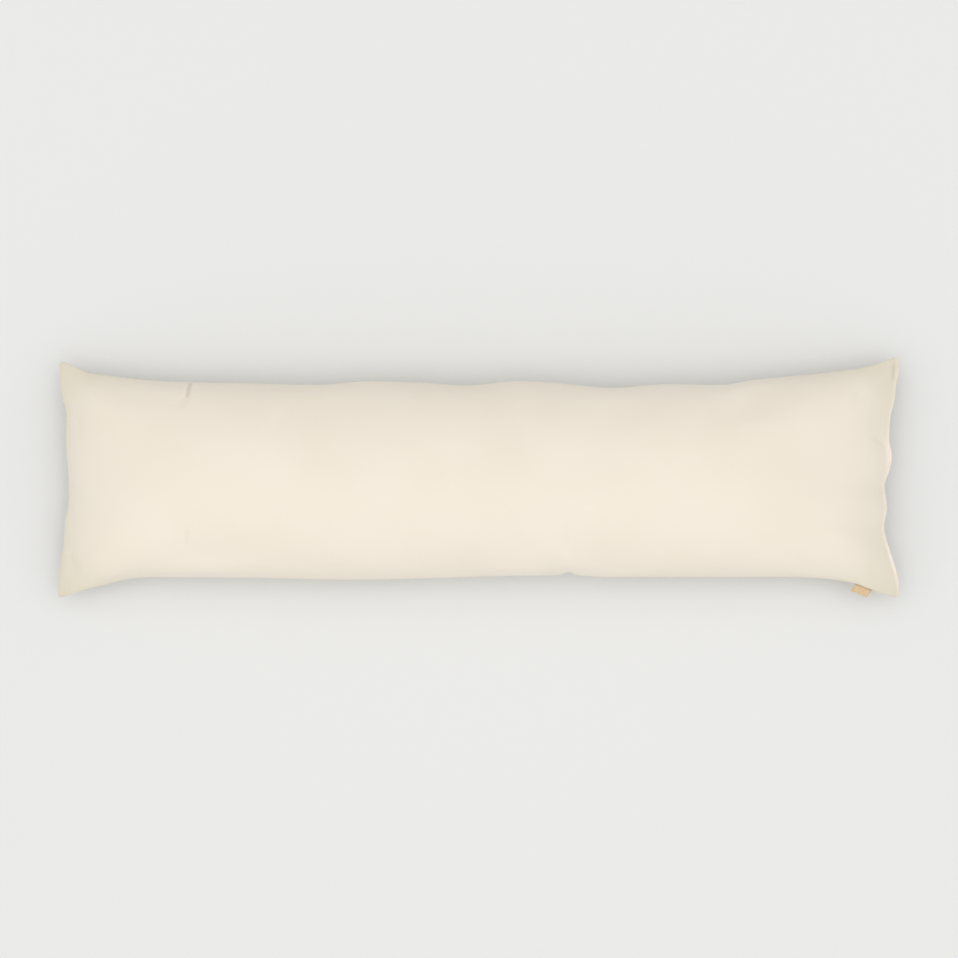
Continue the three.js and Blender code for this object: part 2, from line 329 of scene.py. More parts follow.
def swell_height(points):
    height = 0
    for swell in SWELLS:
        turn = math.radians(swell["turn"])
        run = points[..., 0] * math.cos(turn) + points[..., 1] * math.sin(turn)
        wave = 2 * np.pi * run / (swell["length"] * MM) + swell["start"]
        height = height + swell["height"] * MM * np.sin(wave)
    return height


def trough_depth(points):
    depth = 0
    for trough in TROUGHS:
        turn = math.radians(trough["turn"])
        dx, dy = points[..., 0] - trough["x"] * MM, points[..., 1] - trough["y"] * MM
        lengthwise = (dx * math.cos(turn) + dy * math.sin(turn)) / (trough["length"] * MM / 2)
        across = (dy * math.cos(turn) - dx * math.sin(turn)) / (trough["width"] * MM / 2)
        depth = depth + trough["depth"] * MM * np.exp(-lengthwise ** 2 - across ** 2)
    return depth


def crease_sum(points, kind):
    """The depth or shade of all creases, each falling off to both sides of its line and past its ends."""
    total = 0
    for crease in CREASES:
        start, end = np.array(crease["from"]) * MM, np.array(crease["to"]) * MM
        reach = end - start
        length = np.linalg.norm(reach)
        off = points[..., :2] - start
        share = off @ reach / length ** 2
        across = (off[..., 0] * reach[1] - off[..., 1] * reach[0]) / length
        beyond = np.maximum(0, np.abs(share - 0.5) - CREASE_WHOLE) / CREASE_FADE
        near = np.exp(-(across / (crease["width"] * MM / 2)) ** 2 - beyond ** 2)
        total = total + crease.get(kind, 0.0) * near
    return total


def top_panel(u, v):
    points = middle_sheet(u, v)
    full = fullness(u, v, TOP_END_REACH, TOP_ROUNDNESS)
    points[..., 2] += HALF_SEAM + full * TOP_RISE + np.minimum(1, full / MARK_FADE) * swell_height(points)
    return points


def back_panel(u, v):
    points = middle_sheet(u, v)
    free = points[..., 2] - HALF_SEAM - fullness(u, v, BACK_END_REACH, BACK_ROUNDNESS) * BACK_DROP
    blended = (free + FOOT_BLEND) ** 2 / (4 * FOOT_BLEND)
    points[..., 2] = np.where(free <= -FOOT_BLEND, 0, np.where(free < FOOT_BLEND, blended, free))
    return points


def even_across(panel, u, shares):
    """For each station u, the v at each share of the arc across the panel."""
    fine = (1 - np.cos(np.pi * np.linspace(0, 1, ARC_STEPS))) / 2
    arcs = panel(u[:, None], np.broadcast_to(fine, (len(u), ARC_STEPS)))
    run = np.cumsum(np.linalg.norm(np.diff(arcs, axis=1), axis=2), axis=1)
    run = np.concatenate([np.zeros((len(u), 1)), run], 1)
    return np.stack([np.interp(shares * row[-1], row, fine) for row in run])


def cut_threads(start):
    """The threads that hold a panel's points together: their two ends, cut lengths and hold, set by set."""
    spans_u, spans_v = start.shape[0] - 1, start.shape[1] - 1
    across = np.linalg.norm(np.diff(start, axis=1), axis=-1).mean(1) * (1 + CROSS_EASE)
    share = np.linspace(0, 1, spans_v + 1)
    near_the_seam = np.exp(-np.minimum(share, 1 - share) * CUT_WIDTH / SEAM_EASE_REACH)
    eased = CUT_LENGTH / spans_u * (1 + SEAM_EASE * near_the_seam)
    rest_u = np.broadcast_to(eased, (spans_u, spans_v + 1))
    rest_v = np.broadcast_to(across[:, None], (spans_u + 1, spans_v))
    flat_x = (np.arange(spans_u + 1) * CUT_LENGTH / spans_u)[:, None]
    flat_y = (share * spans_v - spans_v / 2) * across[:, None]
    flat = np.stack(np.broadcast_arrays(flat_x, flat_y), -1)
    rest_rising = np.linalg.norm(flat[1:, 1:] - flat[:-1, :-1], axis=-1)
    rest_falling = np.linalg.norm(flat[1:, :-1] - flat[:-1, 1:], axis=-1)
    whole = slice(None)
    low, high = slice(0, spans_v), slice(1, spans_v + 1)
    threads = []
    for first in (0, 1):
        last = spans_u - (spans_u - first) % 2
        here, there = slice(first, last, 2), slice(first + 1, last + 1, 2)
        threads.append((here, whole, there, whole, rest_u[here], 1.0))
        threads.append((here, low, there, high, rest_rising[here], SHEAR_HOLD))
        threads.append((here, high, there, low, rest_falling[here], SHEAR_HOLD))
        last = spans_v - (spans_v - first) % 2
        here, there = slice(first, last, 2), slice(first + 1, last + 1, 2)
        threads.append((whole, here, whole, there, rest_v[:, here], 1.0))
    return threads


def settle(start, pinned, rests_on_floor):
    """The panel as cloth: it holds its cut lengths, gives a little in shear, and bulges with the filling."""
    free = np.where(pinned, 0.0, 1.0)[..., None]
    threads = cut_threads(start)
    side = -1 if rests_on_floor else 1
    place, speed = start.copy(), np.zeros_like(start)
    for _ in range(SETTLE_STEPS):
        place = place + FILLING_HOLD * (start - place) * free
        new = place + SPEED_USED * speed + side * PRESSURE_STEP * outward_of(place) * free
        for u_a, v_a, u_b, v_b, rest, hold in threads:
            free_a, free_b = free[u_a, v_a], free[u_b, v_b]
            apart = new[u_b, v_b] - new[u_a, v_a]
            length = np.linalg.norm(apart, axis=-1)
            over = (length - rest) / length
            held = np.where(over > 0, hold, hold * SLACK_HOLD)
            pull = held * over / np.maximum((free_a + free_b)[..., 0], TINY)
            step = apart * pull[..., None]
            new[u_a, v_a] += free_a * step
            new[u_b, v_b] -= free_b * step
        for axis in (0, 1):
            rows, loose = np.moveaxis(new, axis, 0), np.moveaxis(free, axis, 0)
            bow = (rows[:-2] + rows[2:]) / 2 - rows[1:-1]
            rows[1:-1] += BENDING / 2 * bow * loose[1:-1]
            rows[:-2] -= BENDING / 4 * bow * loose[:-2]
            rows[2:] -= BENDING / 4 * bow * loose[2:]
        move = new - start
        size = np.maximum(np.linalg.norm(move, axis=-1, keepdims=True), TINY)
        new = start + move * np.minimum(1, MOST_MOVE / size)
        if rests_on_floor:
            new[..., 2] = np.maximum(new[..., 2], 0)
        speed = (new - place) * SPEED_KEPT
        place = new
    return place - start


def cubic_weights(places, spans):
    """Rows of Catmull-Rom weights that read a value at places from 0 to 1 off evenly spaced ones."""
    weights = np.zeros((len(places), spans + 1))
    scaled = np.clip(places, 0, 1) * spans
    first = np.minimum(scaled.astype(int), spans - 1)
    t = scaled - first
    parts = (
        (-1, (-t + 2 * t ** 2 - t ** 3) / 2), (0, (2 - 5 * t ** 2 + 3 * t ** 3) / 2),
        (1, (t + 4 * t ** 2 - 3 * t ** 3) / 2), (2, (-t ** 2 + t ** 3) / 2),
    )
    for offset, part in parts:
        np.add.at(weights, (np.arange(len(places)), np.clip(first + offset, 0, spans)), part)
    return weights


def panel_moves(panel, rests_on_floor):
    """How far the settled cloth lies from the panel's own form, on an even grid."""
    spans_u, spans_v = SETTLE_SPANS
    u, shares = np.linspace(0, 1, spans_u + 1), np.linspace(0, 1, spans_v + 1)
    start = panel(u[:, None], even_across(panel, u, shares))
    pinned = np.zeros(start.shape[:2], bool)
    pinned[[0, -2, -1]] = True
    pinned[:, [0, -1]] = True
    if rests_on_floor:
        pinned |= start[..., 2] < FOOT_HOLD
    kept = 1.0
    for place in CALM_CORNERS:
        along_off = (u - place["u"])[:, None] * CUT_LENGTH / place["along"]
        across_off = (shares - place["v"])[None] * CUT_WIDTH / place["across"]
        kept = kept * (1 - place["calm"] * np.exp(-(along_off ** 2 + across_off ** 2)))
    return settle(start, pinned, rests_on_floor) * kept[..., None]


def stations(length, distances, span):
    """Shares of a length: given distances in from both ends, and even spans between."""
    ends = np.array(distances) * MM
    count = round((length - 2 * ends[-1]) / span)
    between = np.linspace(ends[-1], length - ends[-1], count + 1)[1:-1]
    return np.concatenate([ends, between, length - ends[::-1]]) / length


def length_stations():
    """Stations along the bag, closer together where a crease or pucker crosses it."""
    places = stations(near_length, END_DISTANCES, LENGTH_SPAN)
    line, run = near_seam
    for fine in FINE_PLACES:
        middle = np.interp(fine["x"] * MM, line[:, 0], run) / near_length
        reach = fine["reach"] * MM / near_length
        closer = np.linspace(middle - reach, middle + reach, round(2 * fine["reach"] / fine["span"]) + 1)
        places = np.concatenate([places[np.abs(places - middle) > reach * FINE_CLEARANCE], closer])
    return np.sort(places)


def lip_dent(from_right, share):
    """The closing stitches press a line into the lip and scallop it."""
    run = share * right_length
    scallop = 1 - STITCH_SCALLOP + STITCH_SCALLOP * np.cos(2 * np.pi * run / STITCH_PITCH)
    return STITCH_DENT * scallop * np.exp(-((from_right - STITCH_FROM_EDGE) / STITCH_DENT_WIDTH) ** 2)


def dressed_panel(panel, moves, u, shares, rests_on_floor):
    """The panel's points: its form, the settled cloth's moves and the marks the photograph shows."""
    v = even_across(panel, u, shares)
    points = panel(u[:, None], v)
    weights_u, weights_v = cubic_weights(u, SETTLE_SPANS[0]), cubic_weights(shares, SETTLE_SPANS[1])
    points += np.einsum("au,uvk,bv->abk", weights_u, moves, weights_v, optimize=True)
    from_right = ((1 - u) * near_length)[:, None]
    dent = lip_dent(from_right, shares[None])
    if rests_on_floor:
        points[..., 2] = np.maximum(points[..., 2] + dent, 0)
    else:
        full = fullness(u[:, None], v, TOP_END_REACH, TOP_ROUNDNESS)
        points[..., 2] -= dent + np.minimum(1, full / MARK_FADE) * trough_depth(points)
        if len(u) > 1:
            kept = np.minimum(1, full / CREASE_START)
            points -= (kept * crease_sum(points, "depth") * MM)[..., None] * outward_of(points)
    return points


def rim_of(grid):
    """The grid's outer points in order, round the seam."""
    return np.concatenate([grid[:-1, 0], grid[-1, :-1], grid[:0:-1, -1], grid[0, :0:-1]])


def grid_quads(index, turn):
    """The faces between a grid of point numbers, turned over by a turn of -1."""
    quads = np.stack([index[:-1, :-1], index[1:, :-1], index[1:, 1:], index[:-1, 1:]], -1)
    return quads.reshape(-1, 4)[:, ::turn]


def band_quads(upper, lower):
    """The faces between two closed rings of point numbers."""
    return np.stack([lower, np.roll(lower, -1), np.roll(upper, -1), upper], -1)


def add_vectors(mesh, name, values):
    attribute = mesh.attributes.new(name, "FLOAT_VECTOR", "POINT")
    attribute.data.foreach_set("vector", np.asarray(values, np.float32).ravel())


def add_numbers(mesh, name, values):
    attribute = mesh.attributes.new(name, "FLOAT", "POINT")
    attribute.data.foreach_set("value", np.asarray(values, np.float32))


def make_object(name, points, faces, material):
    mesh = bpy.data.meshes.new(name)
    mesh.from_pydata(np.asarray(points).tolist(), [], [list(face) for face in faces])
    mesh.polygons.foreach_set("use_smooth", [True] * len(mesh.polygons))
    mesh.materials.append(material)
    mesh.update()
    made = bpy.data.objects.new(name, mesh)
    bpy.context.scene.collection.objects.link(made)
    return made


def make_cover(material):
    """Both panels of the bag and the seam round them, as one closed piece.

    Its values for the cotton: the place on the flat cloth, how thick the bag is there, and the painted shade
    in the seam's groove and the shaded creases.
    """
    top_moves, back_moves = panel_moves(top_panel, False), panel_moves(back_panel, True)
    u = length_stations()
    shares = stations(CUT_WIDTH, SIDE_DISTANCES, CROSS_SPAN)
    top = dressed_panel(top_panel, top_moves, u, shares, False)
    back = dressed_panel(back_panel, back_moves, u, shares, True)
    rows, columns = len(u), len(shares)
    top_index = np.arange(rows * columns).reshape(rows, columns)
    back_index = top_index + rows * columns

    flat_x, flat_y = np.broadcast_arrays((u * CUT_LENGTH)[:, None], (shares * CUT_WIDTH)[None])
    cloth = [np.stack([flat_x, flat_y, np.full_like(flat_x, side)], -1).reshape(-1, 3) for side in (0, 1)]
    thickness = (top[..., 2] - back[..., 2]).reshape(-1)
    filled = [thickness, thickness]
    # Painted shade in two of the creases, on the top panel only.
    groove = [crease_sum(top, "shade").reshape(-1), np.zeros(rows * columns)]

    loop = rim_of(top_index)
    loop_top, loop_back = rim_of(top), rim_of(back)
    middle = (loop_top + loop_back) / 2
    ahead = np.roll(middle, -1, 0) - np.roll(middle, 1, 0)
    out = unit(np.stack([ahead[:, 1], -ahead[:, 0], np.zeros(len(ahead))], -1))
    on_lip = rim_of(np.broadcast_to((u > 1 - TINY)[:, None], (rows, columns)))
    slit = np.where(on_lip, LIP_SLIT, RIM_GROOVE)[:, None]
    half = (loop_top - loop_back) / 2
    points = [top.reshape(-1, 3), back.reshape(-1, 3)]
    for ring in RIM:
        points.append(middle + ring["height"] * half + (ring["out"] - ring["groove"] * slit) * out)
        cloth.append(cloth[0 if ring["height"] >= 0 else 1][loop])
        filled.append(thickness[loop])
        groove.append(np.full(len(loop), ring["groove"]))

    count = len(loop)
    first_rim = 2 * rows * columns
    rings = [np.arange(count) + first_rim + count * ring for ring in range(len(RIM))]
    rings = [loop, *rings, loop + rows * columns]
    bands = [band_quads(upper, lower) for upper, lower in zip(rings, rings[1:])]
    faces = np.vstack([grid_quads(top_index, 1), grid_quads(back_index, -1), *bands])
    cover = make_object("pillow_cover", np.vstack(points), faces, material)
    add_vectors(cover.data, "cloth", np.vstack(cloth))
    add_numbers(cover.data, "filled", np.concatenate(filled))
    add_numbers(cover.data, "groove", np.concatenate(groove))
    return cover, top_moves, back_moves


def stitch_points(line):
    """Rings of points round a short thread, its ends drawn to a tip."""
    ahead = unit(np.gradient(line, axis=0))
    level = unit(np.cross(ahead, UP))
    upward = np.cross(level, ahead)
    thin = np.sin(np.pi * np.linspace(*STITCH_ENDS, len(line))) ** STITCH_TAPER * STITCH_RADIUS
    turn = np.linspace(0, 2 * np.pi, STITCH_SIDES, endpoint=False)
    ring = level[:, None] * np.cos(turn)[None, :, None] + upward[:, None] * np.sin(turn)[None, :, None]
    return (line[:, None] + ring * thin[:, None, None]).reshape(-1, 3)


def stitch_faces(first, rings):
    """The sides and two caps of a thread, whose rings of points start at a number."""
    index = first + np.arange(rings * STITCH_SIDES).reshape(rings, STITCH_SIDES)
    faces = []
    for here, there in zip(index, index[1:]):
        faces.extend(band_quads(there, here).tolist())
    return [*faces, index[0, ::-1].tolist(), index[-1].tolist()]


def make_stitches(top_moves, back_moves, material):
    """The row of stitches along the closing lip, seen from above and from below."""
    u = np.array([1 - STITCH_FROM_EDGE / near_length])
    count = int((right_length - 2 * STITCH_ROW_INSET) / STITCH_PITCH)
    rings = len(STITCH_BOW)
    steps = np.linspace(-1, 1, rings)
    turn = np.arange(STITCH_SIDES) / STITCH_SIDES
    points, faces, thread = [], [], []
    for panel, moves, lift in ((top_panel, top_moves, 1), (back_panel, back_moves, -1)):
        for number in range(count):
            centre = STITCH_ROW_INSET + STITCH_PITCH * (number + 0.5)
            run = centre + STITCH_LENGTH / 2 * steps
            line = dressed_panel(panel, moves, u, run / right_length, lift < 0)[0]
            line[:, 0] += STITCH_SLANT * steps * (-1) ** number
            line[:, 2] += lift * np.array(STITCH_BOW)
            faces.extend(stitch_faces(len(points) * rings * STITCH_SIDES, rings))
            points.append(stitch_points(line))
            thread.append(np.stack(np.broadcast_arrays(run[:, None], turn[None], 0.0), -1).reshape(-1, 3))
    stitches = make_object("closing_stitches", np.vstack(points), faces, material)
    add_vectors(stitches.data, "cloth", np.vstack(thread))
    return stitches


def folded_path():
    """The label's path seen from its side, as places out and up: out below, round the fold, back above."""
    radius = LABEL_FOLD_THICKNESS / 2 - RIBBON_THICKNESS / 2
    straight = LABEL_LENGTH - LABEL_FOLD_THICKNESS / 2
    share = np.linspace(0, 1, LABEL_STEPS)
    thickness = LABEL_ROOT_THICKNESS + (LABEL_FOLD_THICKNESS - LABEL_ROOT_THICKNESS) * share
    half = (thickness - RIBBON_THICKNESS) / 2
    sag = -LABEL_SAG * share ** 2
    turn = np.linspace(-np.pi / 2, np.pi / 2, LABEL_FOLD_STEPS)[1:-1]
    return np.concatenate([
        np.stack([straight * share, sag - half], -1),
        np.stack([straight + radius * np.cos(turn), sag[-1] + radius * np.sin(turn)], -1),
        np.stack([straight * share, sag + half], -1)[::-1],
    ])


def make_label(material):
    """A ribbon folded into a loop, both of its ends caught in the near seam."""
    place = 1 - LABEL_FROM_CORNER / near_length
    before, middle, after = along(near_seam, place + np.array([-1, 0, 1]) * LABEL_NUDGE)
    outward = unit(np.array([after[1] - before[1], before[0] - after[0], 0]))
    sideways = np.array([-outward[1], outward[0], 0])

    path = folded_path()
    ahead = unit(np.gradient(path, axis=0))
    normal = np.stack([ahead[:, 1], -ahead[:, 0]], -1)
    run = np.concatenate([[0], np.cumsum(np.linalg.norm(np.diff(path, axis=0), axis=1))])

    widths = np.concatenate([-LABEL_EDGE_STATIONS[::-1], LABEL_MIDDLE_STATIONS, LABEL_EDGE_STATIONS])
    selvedge = np.where(np.abs(widths) < LABEL_EDGE_STATIONS[-1], 1.0, LABEL_EDGE_THINNING)
    along_label = (widths * LABEL_WIDTH)[None]
    root = (along(near_seam, place + along_label / near_length) - middle) @ outward + LABEL_GAP
    layers, flat = [], []
    for face in (1, -1):
        shell = path[:, None] + face * normal[:, None] * (RIBBON_THICKNESS / 2 * selvedge)[None, :, None]
        out, up = shell[..., 0], shell[..., 1]
        reached = out / LABEL_LENGTH
        up = up + LABEL_CURL * (np.abs(2 * widths) ** 3)[None] * reached ** 2
        wave = widths[None] * LABEL_RIPPLE["waves"] + out / LABEL_RIPPLE["length"]
        up = up + LABEL_RIPPLE["height"] * np.sin(2 * np.pi * wave) * reached
        leaned = along_label - LABEL_LEAN * out
        layers.append(
            middle + (root + out)[..., None] * outward + leaned[..., None] * sideways + up[..., None] * UP
        )
        flat.append(np.stack(np.broadcast_arrays(along_label, run[:, None], float(face)), -1))
    rows, columns = layers[0].shape[:2]
    outer = np.arange(rows * columns).reshape(rows, columns)
    inner = outer + rows * columns
    loop, inner_loop = rim_of(outer), rim_of(inner)
    edge = np.stack([loop, inner_loop, np.roll(inner_loop, -1), np.roll(loop, -1)], -1)
    faces = np.vstack([grid_quads(outer, 1), grid_quads(inner, -1), edge])
    points = np.concatenate([layer.reshape(-1, 3) for layer in layers])
    label = make_object("ribbon_label", points, faces, material)
    add_vectors(label.data, "cloth", np.concatenate([part.reshape(-1, 3) for part in flat]))
    return label, run[-1]


# Colours

CREAM = (0.783, 0.715, 0.612)
CREAM_SHADE = (0.757, 0.684, 0.571)
CREAM_LIGHT = (0.802, 0.737, 0.641)
# The thin cloth's tone is partly its own greyer cream and partly painted shade; the ears' tone is painted
# shade.
THIN_AND_SHADED_CREAM = (0.672, 0.628, 0.521)
EAR_SHADE_CREAM = (0.603, 0.558, 0.445)
# A painted highlight on the closing lip.
LIP_HIGHLIGHT_CREAM = (0.835, 0.742, 0.648)
SEAM_SHADE = (0.46, 0.38, 0.28)
TAN = (0.64, 0.46, 0.27)
TAN_DARK = (0.53, 0.36, 0.19)
TAN_LIGHT = (0.76, 0.59, 0.40)
# Painted shade where the ribbon goes into the seam.
TAN_ROOT_SHADE = (0.36, 0.25, 0.14)
PAPER = (0.70, 0.70, 0.688)
PAPER_DARK = (0.698, 0.698, 0.686)
PAPER_LIGHT = (0.702, 0.702, 0.690)

# Cotton, with pitches in metres; a rate or a fade is per metre, and a range says what its two ends become

SPECULAR = 0.2
THREAD_PITCH = 0.00042
THREAD_UNDER = 0.3
THREAD_WAVER, WAVER_RATE = 0.0006, 240
WEAVE_RANGE = (0.2, 0.8, 0.16, 0)
SLUB_LONG_RATE, SLUB_THIN_RATE = 28, 1500
SLUB_RANGE = (0.62, 0.80, 0, 1)
SLUB_SHARE = 0.10
WEAVE_RELIEF, SLUB_RELIEF = 0.7, 0.5
SEAM_STITCH, PUCKER_FADE = 0.0026, 500
GATHER_RATE, GATHER_LONG_RATE, GATHER_FADE = 105, 22, 95
CLOUD_RATE, LUMP_RATE = 7, 21
CLOUD_RANGE = (0.35, 0.65, 0, 1)
CLOUD_SHARE = 0.35
# How the thin cloth's darker tone, partly painted shade, and the ears' painted shade fade, and where they
# fall.
THIN_FADE, EAR_FADE = 30, 17
THIN_BY_HEM = (CUT_LENGTH - 0.040, CUT_LENGTH - 0.008, 1, 0.70)
THIN_BY_END = (0.030, 0.110, 1, 0.65)
GROOVE_SHARE = 0.75

# The closing lip is paled by a painted highlight, most on two stretches.
# Two stretches of the closing lip are turned to the light. One is raised too, its painted highlight wider
# and softer.
LIP_RAISED = {"at": 0.210, "reach": 0.024, "wider": 0.002, "softer": 0.005}
LIP_TURNED = {"at": 0.050, "reach": 0.030}
LIP_HIGHLIGHT = {"width": 0.004, "soft": 0.001, "anywhere": 0.3, "turned": 0.6}

# Sewing thread, ribbon and paper, with the same kinds of values

PLY_TWIST_RATE = 2600
PLY_RANGE = (-1, 0.4, 0.75, 0)
RIB_PITCH = 0.00062
RIBBON_THREAD_PITCH = 0.00050
TWILL_PITCH_ALONG, TWILL_PITCH_ACROSS = 0.00124, 0.00100
TWILL_RANGE = (-1, 1, 0.22, 0)
RIB_RELIEF, TWILL_RELIEF = 0.5, 0.25
SELVEDGE_RANGE = (LABEL_WIDTH * 0.455, LABEL_WIDTH * 0.47, 0, 1)
SELVEDGE_SHARE = 0.35
RIBBON_CLOUD_RATE = 190
RIBBON_CLOUD_RANGE = (0.3, 0.7, 0, 1)
ROOT_SHADE_RANGE = (0.0008, 0.0026, 0.75, 0)
PAPER_CLOUD_RATE = 0.8


class Nodes:
    """Builds one node material, each short method adding a node or a few."""

    def __init__(self, name, colour, roughness, sheen, sheen_roughness=0.5):
        self.material = bpy.data.materials.new(name)
        self.material.use_nodes = True
        self.material.diffuse_color = (*colour, 1)
        self.tree = self.material.node_tree
        self.shader = self.tree.nodes["Principled BSDF"]
        self.shader.inputs["Base Color"].default_value = (*colour, 1)
        self.shader.inputs["Roughness"].default_value = roughness
        self.shader.inputs["Specular IOR Level"].default_value = SPECULAR
        self.shader.inputs["Sheen Weight"].default_value = sheen
        self.shader.inputs["Sheen Roughness"].default_value = sheen_roughness

    def put(self, socket, value):
        if isinstance(value, bpy.types.NodeSocket):
            self.tree.links.new(value, socket)
        else:
            socket.default_value = value

    def attribute(self, name, output):
        node = self.tree.nodes.new("ShaderNodeAttribute")
        node.attribute_name = name
        return node.outputs[output]

    def split(self, vector):
        node = self.tree.nodes.new("ShaderNodeSeparateXYZ")
        self.put(node.inputs[0], vector)
        return node.outputs

    def join(self, x, y, z):
        node = self.tree.nodes.new("ShaderNodeCombineXYZ")
        for socket, value in zip(node.inputs, (x, y, z)):
            self.put(socket, value)
        return node.outputs[0]

    def math(self, operation, *values):
        node = self.tree.nodes.new("ShaderNodeMath")
        node.operation = operation
        for socket, value in zip(node.inputs, values):
            self.put(socket, value)
        return node.outputs[0]

    def plus(self, first, second):
        return self.math("ADD", first, second)

    def minus(self, first, second):
        return self.math("SUBTRACT", first, second)

    def times(self, first, second):
        return self.math("MULTIPLY", first, second)

    def wave(self, value, pitch):
        return self.math("SINE", self.times(value, 2 * math.pi / pitch))

    def falling(self, value, rate):
        return self.math("EXPONENT", self.times(value, -rate))

    def mound(self, value, middle, reach):
        """1 at the middle, falling to a third at the reach."""
        off = self.math("DIVIDE", self.minus(value, middle), reach)
        return self.math("EXPONENT", self.times(self.times(off, off), -1.0))

    def noise(self, vector, scale, detail=2.0, roughness=0.5):
        node = self.tree.nodes.new("ShaderNodeTexNoise")
        self.put(node.inputs["Vector"], vector)
        node.inputs["Scale"].default_value = scale
        node.inputs["Detail"].default_value = detail
        node.inputs["Roughness"].default_value = roughness
        return node.outputs["Fac"]

    def from_rim(self, place, whole):
        """The distance to the nearer of the two seams that a cut length runs between."""
        return self.minus(whole / 2, self.math("ABSOLUTE", self.minus(place, whole / 2)))

    def gathers(self, run, from_seam, side):
        """Soft short folds that leave a seam at right angles."""
        place = self.join(self.times(run, GATHER_RATE), self.times(from_seam, GATHER_LONG_RATE), side)
        return self.times(self.noise(place, scale=1.0, detail=1.5), self.falling(from_seam, GATHER_FADE))

    def puckers(self, run, from_seam):
        """The cloth drawn in at each stitch of a seam."""
        return self.times(self.wave(run, SEAM_STITCH), self.falling(from_seam, PUCKER_FADE))

    def spread(self, value, low, high, new_low, new_high):
        node = self.tree.nodes.new("ShaderNodeMapRange")
        for socket, number in zip(node.inputs, (value, low, high, new_low, new_high)):
            self.put(socket, number)
        return node.outputs[0]

    def mix(self, factor, first, second):
        """Between two colours, each of them plain or a node's."""
        node = self.tree.nodes.new("ShaderNodeMix")
        node.data_type = "RGBA"
        self.put(node.inputs[0], factor)
        for socket, colour in ((node.inputs[6], first), (node.inputs[7], second)):
            self.put(socket, (*colour, 1) if isinstance(colour, tuple) else colour)
        return node.outputs[2]

    def bump(self, height, distance, strength, under=None):
        node = self.tree.nodes.new("ShaderNodeBump")
        self.put(node.inputs["Height"], height)
        node.inputs["Distance"].default_value = distance
        node.inputs["Strength"].default_value = strength
        if under is not None:
            self.put(node.inputs["Normal"], under)
        return node.outputs[0]

    def finished(self, tone, normal=None):
        self.put(self.shader.inputs["Base Color"], tone)
        if normal is not None:
            self.put(self.shader.inputs["Normal"], normal)
        return self.material


def woven_height(nodes, cloth, x, y):
    """Plain weave: slightly wavy threads, each passing over and under the ones across it."""
    waver = nodes.times(nodes.minus(nodes.noise(cloth, WAVER_RATE), 0.5), THREAD_WAVER)
    warp = nodes.wave(nodes.plus(x, waver), 2 * THREAD_PITCH)
    weft = nodes.wave(nodes.minus(y, waver), 2 * THREAD_PITCH)
    over = nodes.times(warp, weft)
    warp_top = nodes.times(nodes.math("ABSOLUTE", warp), nodes.spread(over, -1, 1, THREAD_UNDER, 1))
    weft_top = nodes.times(nodes.math("ABSOLUTE", weft), nodes.spread(over, -1, 1, 1, THREAD_UNDER))
    return nodes.math("MAXIMUM", warp_top, weft_top)


def slub_height(nodes, x, y, side):
    """Stretches where a thread is thicker, along the cloth and across it."""
    slubs = []
    for rate_x, rate_y in ((SLUB_LONG_RATE, SLUB_THIN_RATE), (SLUB_THIN_RATE, SLUB_LONG_RATE)):
        place = nodes.join(nodes.times(x, rate_x), nodes.times(y, rate_y), side)
        slubs.append(nodes.spread(nodes.noise(place, scale=1.0, detail=1.0), *SLUB_RANGE))
    return nodes.math("MAXIMUM", *slubs)


def filled_tone(nodes, cloth, x, to_end, to_side):
    """Faintly clouded cream, darker where the bag is thin (its own tone and painted shade) and in its ears
    (painted shade).
    """
    clouds = nodes.spread(nodes.noise(cloth, CLOUD_RATE, detail=3.0), *CLOUD_RANGE)
    tone = nodes.mix(CLOUD_SHARE, CREAM, nodes.mix(clouds, CREAM_SHADE, CREAM_LIGHT))
    by_place = nodes.times(nodes.spread(x, *THIN_BY_HEM), nodes.spread(to_end, *THIN_BY_END))
    thin = nodes.times(nodes.falling(nodes.attribute("filled", "Fac"), THIN_FADE), by_place)
    ear = nodes.times(nodes.falling(to_end, EAR_FADE), nodes.falling(to_side, EAR_FADE))
    return nodes.mix(ear, nodes.mix(thin, tone, THIN_AND_SHADED_CREAM), EAR_SHADE_CREAM)


def lip_highlight(nodes, x, y):
    """How much painted highlight each place of the closing lip takes."""
    raised = nodes.mound(y, LIP_RAISED["at"], LIP_RAISED["reach"])
    turned = nodes.plus(raised, nodes.mound(y, LIP_TURNED["at"], LIP_TURNED["reach"]))
    start = nodes.minus(CUT_LENGTH - LIP_HIGHLIGHT["width"], nodes.times(raised, LIP_RAISED["wider"]))
    softness = nodes.plus(nodes.times(raised, LIP_RAISED["softer"]), LIP_HIGHLIGHT["soft"])
    lip = nodes.spread(x, nodes.minus(start, softness), start, 0, 1)
    return nodes.times(lip, nodes.plus(nodes.times(turned, LIP_HIGHLIGHT["turned"]), LIP_HIGHLIGHT["anywhere"]))


